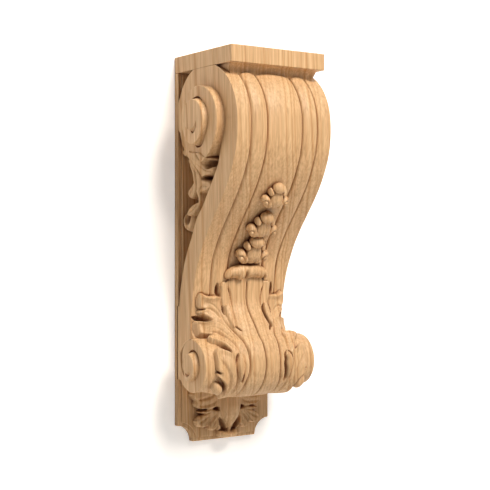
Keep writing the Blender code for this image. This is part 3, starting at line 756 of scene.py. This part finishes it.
def pendant_x(share, up):
    """Place across the board, kept inside its hollowed corners."""
    return share * np.interp(up, [18, 24], [39.0, 47.0])


belongs(relief("pendant_leaf", np.linspace(-1, 1, 161), np.linspace(0.6, 64, 106),
               lambda share, up: pendant_height(pendant_x(share, up), up), PENDANT_BED - 2.0,
               lambda share, up, h: (float(pendant_x(share, up)), BOARD + h, up)))


# Foliage in the side hollows.
# A stem with curled lobes inside each side hollow, cut nearly as high as the block's side, down to
# a ringed tip where the hollow narrows. It is cut in one with the web behind it.

# Outline of the foliage, as distance from the wall and height
FOLIAGE = [(70, 294.5), (62, 298.5), (50, 299.6), (39, 300.5), (29, 304.4), (18, 305.8), (12, 303.5),
           (11.5, 299.5), (15, 295.6), (19.5, 294.6), (24.5, 298.5), (28.5, 294.5), (22, 291.3),
           (24.5, 289), (28.5, 286.5),
           (31, 277), (32.5, 270), (29, 266), (23.5, 262), (21.5, 257), (25.5, 252.8), (31, 251),
           (35.5, 254.5), (38, 258), (38.6, 253), (37.5, 249.5), (32, 247.5), (25, 244), (20.5, 239),
           (21, 234.5), (27, 233.5), (34, 235), (39, 240), (44, 246.5), (46, 252), (46.5, 257.5),
           (52, 258.2), (60, 259), (66.5, 262.5), (68, 267), (64, 270.2), (56, 271.2), (50, 272.6),
           (56, 274), (66, 274.4), (74, 278.5), (78, 282), (75, 284), (62, 282.4), (60.5, 286),
           (64, 289.6), (76, 288.6), (80, 290)]
# Furrows and veins: path, width and depth
FOLIAGE_LINES = [
    ([(50, 272.6), (46, 276), (43, 283), (42, 292), (43, 299)], 1.2, 3.0),
    ([(53, 298.5), (56, 293.4), (60, 288.5), (62, 283)], 1.2, 2.4),
    ([(38, 258), (39.5, 264), (38.5, 272), (37, 281), (37.5, 292)], 1.1, 2.4),
    ([(26, 298.5), (31, 293.5), (35, 288)], 1.5, 4.0),
    ([(60, 264.5), (53, 265), (47, 263), (43, 257)], 1.0, 1.6),
    ([(72, 278), (63, 279), (55, 282), (50, 289)], 1.1, 2.0),
    ([(26, 257), (31, 263), (35, 270)], 1.0, 1.6),
    ([(25, 238.5), (31, 241), (37, 245.5), (41, 251)], 1.0, 1.6),
    ([(20, 291.8), (27, 290), (33, 286)], 0.9, 1.4),
]
FOLIAGE_BED = -2.0
FOLIAGE_RISE = 22.5
FOLIAGE_LIMIT = 32.5
RING_TIP = (21.5, 229.5)
RING_RADIUS = 12.3
RING_EYE = (21.5, 232.0)


def foliage_height(out, up):
    """Height over the web: highest at the top lobes, with a ring and its sunk eye at the tip."""
    high = FOLIAGE_RISE - 2.5 * np.exp(-((out - 41) / 5) ** 2) * smooth(-up, -262, -250)
    high = high + 10.0 * smooth(up, 276, 294) * smooth(out, 20, 48)
    total = FOLIAGE_BED + (high - FOLIAGE_BED) * raised(out, up, FOLIAGE, 2.4) ** 0.7
    for rows, width, deep in FOLIAGE_LINES:
        total += groove(out, up, rows, width, deep)
    from_ring = np.hypot(out - RING_TIP[0], up - RING_TIP[1])
    tip = FOLIAGE_RISE * np.sqrt(np.clip(1 - (from_ring / RING_RADIUS) ** 5, 0, 1))
    tip -= 10.0 * np.exp(-(np.hypot(out - RING_EYE[0], up - RING_EYE[1]) / 5.2) ** 6)
    total = np.maximum(total, np.where(from_ring < RING_RADIUS, tip, FOLIAGE_BED))
    return np.clip(total, FOLIAGE_BED, FOLIAGE_LIMIT)


RIBBON = np.array(RIBBON_BACK[::-1])
FOLIAGE_BACK = 8.0


def foliage_out(share, up):
    """Distance from the wall at a share of the way from the board to the back of the scroll."""
    limit = np.minimum(np.interp(up, RIBBON[:, 1], RIBBON[:, 0]) + BOARD + OVERLAP, 84.0)
    return FOLIAGE_BACK + (limit - FOLIAGE_BACK) * share


for side, hand in ((-1, "left"), (1, "right")):
    belongs(relief("side_foliage_" + hand, np.linspace(0, 1, 105), np.linspace(214, 318, 149),
                   lambda share, up: foliage_height(foliage_out(share, up), up), FOLIAGE_BED - 2.0,
                   lambda share, up, h: (side * (WEB + h), float(foliage_out(share, up)), up)))


# Lip.
# The top of the acanthus leaf turned over into a rounded bar across the front, with its ends curling
# down and notches cut in its lower side. It is cut in one with the leaf.
LIP_STEPS = 81
LIP_SIDES = 28
LIP_MIDDLE = -1.0
LIP_HALF = 26.5
LIP_RADIUS = 7.6
LIP_STATION = 15.18
LIP_OUT = 4.4
# Cuts in the lower side: place across, width, depth (below 0 for a swell), and 2 for a notch or 4
# for a broad hollow
LIP_CUTS = [(-4.6, 1.3, 0.80, 2), (-9.0, 3.4, -0.16, 2), (-16.5, 3.6, 0.30, 4), (9.5, 7.5, 0.20, 4),
            (19.5, 1.3, 0.60, 2), (-21.5, 1.2, 0.45, 2)]


def on_surface(x, station):
    """Point on the front, with the directions down the front and straight out of it."""
    here = front(np.array(station), np.array(x), 0.0)
    below = front(np.array(station + 0.05), np.array(x), 0.0)
    down = Vector(below - here).normalized()
    out = Vector((1, 0, 0)).cross(down)
    if out.y < 0:
        out = -out
    return Vector(here), down, out.normalized()


points = []
for i in range(LIP_STEPS):
    share = -1 + 2 * i / (LIP_STEPS - 1)
    x = LIP_MIDDLE + share * LIP_HALF
    here, down, out = on_surface(x, LIP_STATION + 0.3 * share * share)
    radius = LIP_RADIUS * (1 - abs(share) ** 5) ** 0.5 * (1 - 0.16 * share * share) + 0.15
    for k in range(LIP_SIDES):
        turn = 2 * math.pi * k / LIP_SIDES
        low_side = max(math.sin(turn + 0.4), 0.0)
        pull = sum(deep * math.exp(-((x - place) / width) ** power) * low_side ** (power // 2)
                   for place, width, deep, power in LIP_CUTS)
        r = radius * (1 - pull)
        points.append(tuple(here + out * (LIP_OUT + r * math.cos(turn)) + down * (r * math.sin(turn))))
belongs(piece_from("leaf_lip", points, tube_faces(LIP_STEPS, LIP_SIDES), 50))


# Husk chain.
# Three husks down the centre panel, each a bud over a fluted bell with a curled lobe and a leaf tip
# at either side, carved some 15 mm proud. One husk is made and set three times, growing downwards.
def blob(centre, half, tilt=0.0, taper=0.0, flutes=0, flute_depth=0.0, curl=None, steps=20, sides=32):
    """Rounded lump in millimetres across, up the front and out. Taper widens its lower end, flutes
    run along it, and curl cuts a ring round a place on it."""
    pts = []
    c, s = math.cos(tilt), math.sin(tilt)
    for r in range(steps + 1):
        lat = math.pi * r / steps
        for k in range(sides):
            turn = 2 * math.pi * k / sides
            wide = math.sin(lat) * (1 + taper * math.cos(lat))
            a = wide * math.cos(turn)
            b = -math.cos(lat)
            z = wide * math.sin(turn)
            shrink = 1 - flute_depth * abs(math.sin(flutes * turn / 2)) ** 0.7 * math.sin(lat)
            if curl:
                shrink -= curl[2] * math.exp(-((math.hypot(a - curl[0], b - curl[1]) - 0.62) / 0.13) ** 2)
            a, b, z = half[0] * a * shrink, half[1] * b * shrink, half[2] * z * shrink
            pts.append((centre[0] + a * c - b * s, centre[1] + a * s + b * c, centre[2] + z))
    return pts, tube_faces(steps + 1, sides, False)


# Where each husk sits, as station down the front, and its size
HUSKS = [(9.0, 0.92), (10.75, 1.02), (12.5, 1.1)]
HUSK_LIFT = 2.8
# The lumps of one husk: bud and bell in the middle, then side buds, leaf tips and curls
HUSK = [dict(centre=(0, 0.5, 5.8), half=(7.6, 5.8, 6.8), taper=0.15),
        dict(centre=(0, -11.5, 6.0), half=(9.2, 12.0, 6.6), taper=0.35, flutes=3, flute_depth=0.1)]
for side in (-1, 1):
    HUSK.append(dict(centre=(side * 8.6, -4.5, 4.6), half=(2.9, 4.4, 4.8), tilt=side * -0.35, taper=0.55))
    HUSK.append(dict(centre=(side * 6.0, -17.5, 4.2), half=(4.8, 7.4, 6.6), tilt=side * 0.35, taper=0.1))
    HUSK.append(dict(centre=(side * 12.2, -15.8, 5.0), half=(5.4, 6.2, 6.8), tilt=side * -0.2,
                     curl=(side * 0.3, -0.2, 0.34)))

points = []
faces = []
for lump in HUSK:
    pts, fcs = blob(**lump)
    faces += [tuple(i + len(points) for i in f) for f in fcs]
    points += pts
husk_mesh = bpy.data.meshes.new("husk")
husk_mesh.from_pydata([(a * MM, b * MM, c * MM) for a, b, c in points], [], faces)
husk_work = bmesh.new()
husk_work.from_mesh(husk_mesh)
bmesh.ops.remove_doubles(husk_work, verts=husk_work.verts, dist=0.00001)
bmesh.ops.recalc_face_normals(husk_work, faces=husk_work.faces)
husk_work.to_mesh(husk_mesh)
husk_work.free()
husk = bpy.data.objects.new("husk", husk_mesh)
bpy.context.scene.collection.objects.link(husk)


def husk_chain():
    """Three husks set down the front by Geometry Nodes."""
    places = bpy.data.meshes.new("husk_places")
    spots, turns = [], []
    for station, size in HUSKS:
        here, down, out = on_surface(0.0, station)
        spots.append(spot(*(here + out * HUSK_LIFT)))
        turns.append((math.atan2(-down.z, down.y), 0.0, 0.0))
    places.from_pydata(spots, [], [])
    turn_layer = places.attributes.new("turn", "FLOAT_VECTOR", "POINT")
    for i, turn in enumerate(turns):
        turn_layer.data[i].vector = turn
    size_layer = places.attributes.new("size", "FLOAT", "POINT")
    for i, (station, size) in enumerate(HUSKS):
        size_layer.data[i].value = size
    holder = bpy.data.objects.new("husk_holder", places)
    bpy.context.scene.collection.objects.link(holder)
    tree = bpy.data.node_groups.new("husks_down_the_front", "GeometryNodeTree")
    tree.interface.new_socket("Places", in_out="INPUT", socket_type="NodeSocketGeometry")
    tree.interface.new_socket("Husk", in_out="INPUT", socket_type="NodeSocketObject")
    tree.interface.new_socket("Wood", in_out="INPUT", socket_type="NodeSocketMaterial")
    tree.interface.new_socket("Chain", in_out="OUTPUT", socket_type="NodeSocketGeometry")
    given = node(tree, "NodeGroupInput")
    shape = node(tree, "GeometryNodeObjectInfo", None, {"Object": given.outputs["Husk"]})
    turn = node(tree, "GeometryNodeInputNamedAttribute", {"data_type": "FLOAT_VECTOR"}, {"Name": "turn"})
    size = node(tree, "GeometryNodeInputNamedAttribute", {"data_type": "FLOAT"}, {"Name": "size"})
    rotation = node(tree, "FunctionNodeEulerToRotation", None, {"Euler": turn.outputs["Attribute"]})
    placed = node(tree, "GeometryNodeInstanceOnPoints", None,
                  {"Points": given.outputs["Places"], "Instance": shape.outputs["Geometry"],
                   "Rotation": rotation.outputs[0], "Scale": size.outputs["Attribute"]})
    real = node(tree, "GeometryNodeRealizeInstances", None, {"Geometry": placed.outputs[0]})
    wood = node(tree, "GeometryNodeSetMaterial", None,
                {"Geometry": real.outputs[0], "Material": given.outputs["Wood"]})
    node(tree, "NodeGroupOutput", None, {"Chain": wood.outputs[0]})
    setter = holder.modifiers.new("husks", "NODES")
    setter.node_group = tree
    inputs = {item.name: item.identifier for item in tree.interface.items_tree if item.in_out == "INPUT"}
    setter[inputs["Husk"]] = husk
    setter[inputs["Wood"]] = oak
    bpy.context.view_layer.update()
    result = bpy.data.meshes.new_from_object(holder.evaluated_get(bpy.context.evaluated_depsgraph_get()))
    result.name = "husk_chain"
    for old in (holder, husk):
        bpy.data.objects.remove(old, do_unlink=True)
    result.shade_smooth()
    result.set_sharp_from_angle(angle=math.radians(50))
    made = bpy.data.objects.new("husk_chain", result)
    bpy.context.scene.collection.objects.link(made)
    return made


belongs(husk_chain())


# Stage.
# A white painted wall, a pale floor well below, and soft lamps. The wall is in six sheets round an
# opening of the board's shape, so that the bracket's own back can be seen from behind.
def stage_material(name, code, through):
    """Matt paint; from behind, a see-through wall lets the camera look past it."""
    material = bpy.data.materials.new(name)
    material.use_nodes = True
    tree = material.node_tree
    shader = tree.nodes["Principled BSDF"]
    seen = node(tree, "ShaderNodeLightPath").outputs["Is Camera Ray"]
    glow = node(tree, "ShaderNodeMath", {"operation": "MULTIPLY"}, {0: seen, 1: 0.3})
    shader.inputs["Emission Color"].default_value = WHITE
    tree.links.new(glow.outputs[0], shader.inputs["Emission Strength"])
    shader.inputs["Base Color"].default_value = linear(code)
    shader.inputs["Roughness"].default_value = 0.9
    if through:
        clear = node(tree, "ShaderNodeBsdfTransparent")
        facing = node(tree, "ShaderNodeNewGeometry").outputs["Backfacing"]
        mix = node(tree, "ShaderNodeMixShader", None,
                   {0: facing, 1: shader.outputs[0], 2: clear.outputs[0]})
        tree.links.new(mix.outputs[0], tree.nodes["Material Output"].inputs["Surface"])
    return material


def sheet(name, corners, material):
    """Flat sheet of the stage."""
    mesh = bpy.data.meshes.new(name)
    mesh.from_pydata(corners, [], [(0, 1, 2, 3)])
    mesh.materials.append(material)
    made = bpy.data.objects.new(name, mesh)
    bpy.context.scene.collection.objects.link(made)
    made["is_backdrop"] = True


WALL = 0.0006
ROOM = 6.0
FLOOR = -1.2
CEILING = 4.0
GAP_SIDE = 0.0562
GAP_UP = 0.1992
GAP_FOOT_SIDE = 0.039
GAP_FOOT_UP = -0.182
wall_white = stage_material("white_wall", "ffffff", True)
for name, left, right, low, high in (
        ("wall_left", -ROOM, -GAP_SIDE, FLOOR, CEILING),
        ("wall_right", GAP_SIDE, ROOM, FLOOR, CEILING),
        ("wall_below", -GAP_SIDE, GAP_SIDE, FLOOR, -GAP_UP),
        ("wall_low_left", -GAP_SIDE, -GAP_FOOT_SIDE, -GAP_UP, GAP_FOOT_UP),
        ("wall_low_right", GAP_FOOT_SIDE, GAP_SIDE, -GAP_UP, GAP_FOOT_UP),
        ("wall_above", -GAP_SIDE, GAP_SIDE, GAP_UP, CEILING)):
    sheet(name, [(left, WALL, low), (right, WALL, low), (right, WALL, high), (left, WALL, high)],
          wall_white)
sheet("floor", [(-ROOM, -ROOM, FLOOR), (ROOM, -ROOM, FLOOR), (ROOM, ROOM / 2, FLOOR),
                (-ROOM, ROOM / 2, FLOOR)], stage_material("pale_floor", "f4f2ee", False))


def lamp(name, place, target, size, watts, code):
    """Round soft lamp, aimed at a target; size in metres across."""
    data = bpy.data.lights.new(name, "AREA")
    data.shape = "DISK"
    data.size = size
    data.energy = watts
    data.color = linear(code)[:3]
    made = bpy.data.objects.new(name, data)
    made.location = place
    made.rotation_euler = (Vector(target) - Vector(place)).to_track_quat("-Z", "Y").to_euler()
    bpy.context.scene.collection.objects.link(made)


lamp("key", (0.24, -2.0, 1.85), (0, 0, 0), 0.9, 82, "fff5ea")
lamp("behind_wall", (-0.5, 1.9, 1.1), (0, 0, 0), 1.0, 38, "fff5ea")
world = bpy.data.worlds.new("soft_room")
bpy.context.scene.world = world
world.use_nodes = True
world.node_tree.nodes["Background"].inputs["Color"].default_value = WHITE
world.node_tree.nodes["Background"].inputs["Strength"].default_value = 0.2


# Camera.
# It stands level with the bracket's middle, left of it and 1.2 m away, where the photo was taken from
# as far as its lines tell.
camera_data = bpy.data.cameras.new("camera")
camera_data.sensor_width = 36.0
camera_data.lens = 84.09
camera_data.shift_y = -0.01285
camera = bpy.data.objects.new("camera", camera_data)
camera.location = (-0.6689, -1.0239, 0.0118)
camera.rotation_euler = (math.radians(90), 0.0, math.radians(-34.381))
bpy.context.scene.collection.objects.link(camera)
bpy.context.scene.camera = camera
bpy.context.scene.view_settings.view_transform = "Standard"


low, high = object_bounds()
